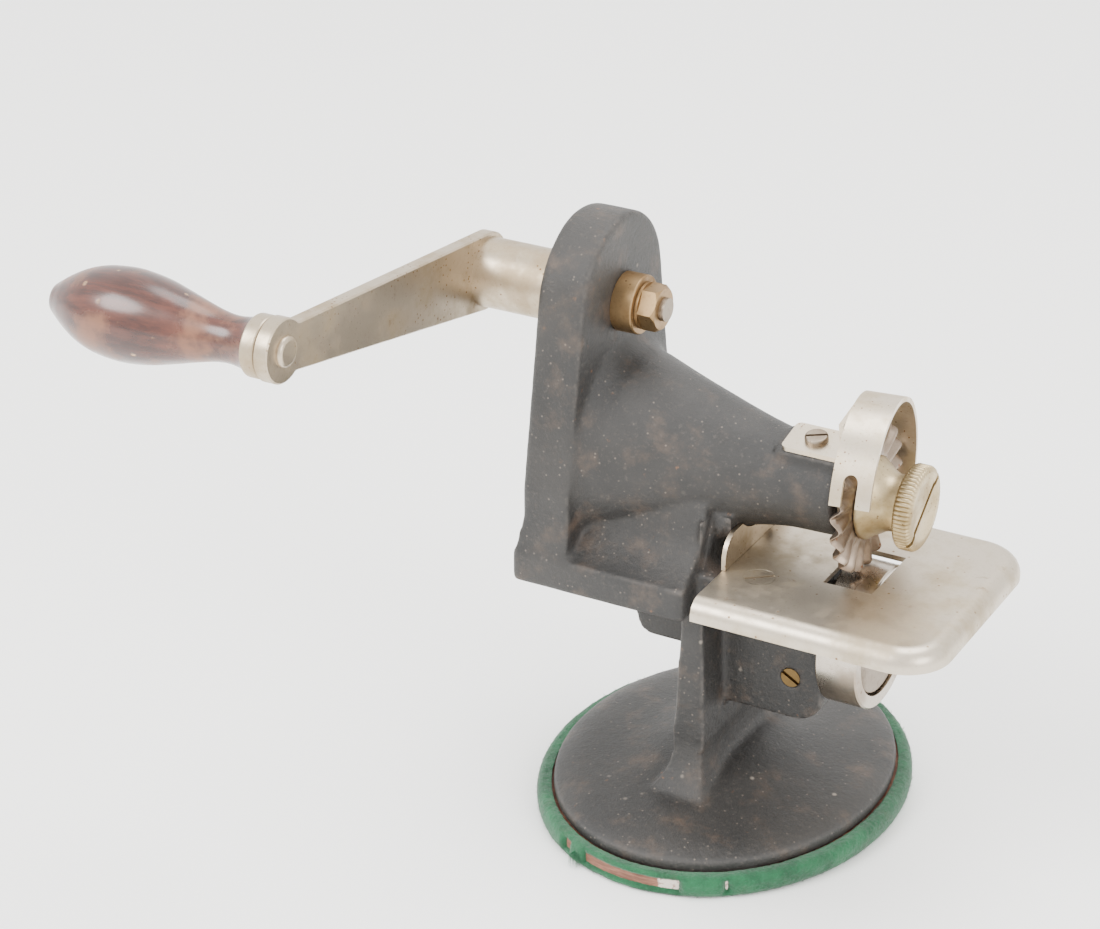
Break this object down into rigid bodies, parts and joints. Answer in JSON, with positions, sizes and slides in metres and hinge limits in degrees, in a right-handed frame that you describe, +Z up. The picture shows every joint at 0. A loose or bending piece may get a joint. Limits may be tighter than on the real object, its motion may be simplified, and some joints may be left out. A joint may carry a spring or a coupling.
{
  "type": "rotary scallop cutter",
  "caption": "Hand-cranked bench cutter for leather edges: geared crank, wavy cutter wheel over an anvil roller, slotted table and felt-covered oval base.",
  "frame": {"origin": "middle of the oval base, on the surface that the felt stands on", "axes": "+X along the three shafts from the crank to the cutter, +Y across the table, +Z up"},
  "size_m": [0.215, 0.1706, 0.1656],
  "materials": {
    "enamel": "worn black japan enamel over cast iron",
    "board": "stained fibre board edge with pale patches",
    "felt": "green wool felt",
    "nickel": "worn nickel plate with rust freckles",
    "dull_steel": "dull steel",
    "tarnished": "brown tarnish",
    "bronze": "plain bronze",
    "gear_iron": "machined and oiled",
    "cutter_steel": "hardened steel with light rust",
    "roller_steel": "ground steel",
    "wood": "worn red-brown varnish"
  },
  "bodies": {
    "frame": {"frame_casting": "enamel", "base_board": "board", "felt_wrap": "felt", "gear_cover": "enamel", "cover_screws": "dull_steel", "crank_bush_front": "dull_steel", "crank_bush_rear": "bronze", "cutter_bush_front": "bronze", "cutter_bush_rear": "bronze", "cutter_guard": "nickel", "guard_screw": "dull_steel", "table_plate": "nickel", "table_screws": "nickel", "edge_guide": "nickel", "guide_screw": "dull_steel", "roller_stud": "dull_steel", "bracket_screw": "bronze"},
    "crank": {"crank_arm": "nickel", "crank_sleeve": "nickel", "crank_shaft": "dull_steel", "crank_washer": "tarnished", "crank_nut": "tarnished", "drive_gear": "gear_iron", "drive_gear_key": "dull_steel", "handle_pin": "nickel"},
    "handle": {"handle_grip": "wood", "handle_ferrule": "nickel"},
    "cutter": {"cutter_shaft": "dull_steel", "cutter_gear": "gear_iron", "cutter_gear_key": "dull_steel", "cutter_wheel": "cutter_steel", "cutter_collar": "dull_steel"},
    "clamp_nut": {"thumb_nut": "nickel"},
    "anvil": {"anvil_roller": "roller_steel", "roller_bush": "bronze"}
  },
  "joints": [
    {"name": "crank_spin", "type": "hinge", "parent": "frame", "child": "crank", "pos_m": [0, 0, 0.138], "axis": [1, 0, 0], "continuous": true},
    {"name": "handle_spin", "type": "hinge", "parent": "crank", "child": "handle", "pos_m": [-0.11, -0.09867, 0.15363], "axis": [1, 0, 0], "continuous": true},
    {"name": "cutter_spin", "type": "hinge", "parent": "frame", "child": "cutter", "pos_m": [0, 0, 0.098], "axis": [1, 0, 0], "continuous": true},
    {"name": "thumb_nut_slide", "type": "slide", "parent": "cutter", "child": "clamp_nut", "axis": [1, 0, 0], "range_m": [0, 0.012]},
    {"name": "anvil_spin", "type": "hinge", "parent": "frame", "child": "anvil", "pos_m": [0.04, 0, 0.058], "axis": [1, 0, 0], "continuous": true}
  ],
  "couplings": [
    {"joint": "cutter_spin", "follows": "crank_spin", "ratio": -0.81818},
    {"joint": "anvil_spin", "follows": "crank_spin", "ratio": 0.84755}
  ]
}
